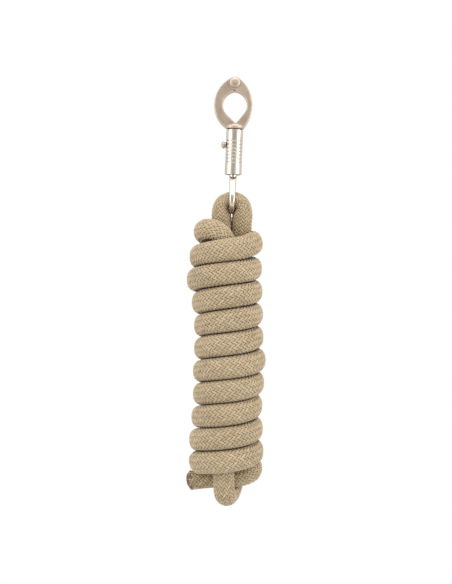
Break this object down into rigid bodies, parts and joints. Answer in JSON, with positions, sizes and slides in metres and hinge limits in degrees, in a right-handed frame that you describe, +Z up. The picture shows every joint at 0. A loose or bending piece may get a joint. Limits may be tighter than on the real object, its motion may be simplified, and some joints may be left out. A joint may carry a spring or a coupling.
{
  "type": "lead rope",
  "caption": "Braided horse lead rope wound in a tight hank, on a nickel-plated panic snap with a swivel eye, a spring-loaded lock sleeve and a hinged release jaw.",
  "frame": {"origin": "seat at the top of the snap's jaw opening, on the snap's axis, where a halter ring hangs", "axes": "+Z up along the snap's axis, +X to the right, towards the side where the release jaw opens, -Y to the front, where the rivet's jaw-side head is"},
  "size_m": [0.0669, 0.0686, 0.3514],
  "materials": {
    "satin_nickel": "satin nickel plate on a die casting",
    "bright_nickel": "polished nickel plate",
    "spring_steel": "drawn spring wire",
    "crimp_steel": "zinc plated",
    "rope_fibre": "braided beige multifilament yarn",
    "melted_fibre": "heat-sealed yarn ends"
  },
  "bodies": {
    "hook": {"hook_body": "satin_nickel", "jaw_rivet": "bright_nickel", "stem_retaining_pin": "spring_steel"},
    "jaw": {"release_jaw": "satin_nickel"},
    "sleeve": {"lock_sleeve": "bright_nickel", "thumb_stud": "bright_nickel"},
    "stem": {"swivel_stem": "bright_nickel", "spring_seat_washer": "spring_steel", "stem_clip": "spring_steel", "sleeve_spring": "spring_steel"},
    "rope": {"rope_eye_loop": "rope_fibre", "loop_ferrule": "crimp_steel", "rope_start_bend": "rope_fibre", "rope_hank": "rope_fibre", "rope_bottom_loop": "rope_fibre", "rope_tail": "rope_fibre", "heat_sealed_end": "melted_fibre"}
  },
  "joints": [
    {"name": "jaw_swing", "type": "hinge", "parent": "hook", "child": "jaw", "pos_m": [-0.0013, 0, 0.0075], "axis": [0, -1, 0], "range_deg": [0, 80], "stiffness_Nm_per_rad": 0.0072, "springref_deg": -80.79},
    {"name": "sleeve_slide", "type": "slide", "parent": "hook", "child": "sleeve", "axis": [0, 0, -1], "range_m": [0, 0.006], "deforming": ["sleeve_spring"]},
    {"name": "swivel", "type": "hinge", "parent": "hook", "child": "stem", "pos_m": [0, 0, -0.048], "axis": [0, 0, 1], "continuous": true},
    {"name": "rope_swing", "type": "hinge", "parent": "stem", "child": "rope", "pos_m": [0, 0, -0.0882], "axis": [1, 0, 0], "range_deg": [-55, 55]}
  ],
  "couplings": [
    {"joint": "sleeve_slide", "follows": "jaw_swing", "m_per_rad": 0.00425}
  ]
}
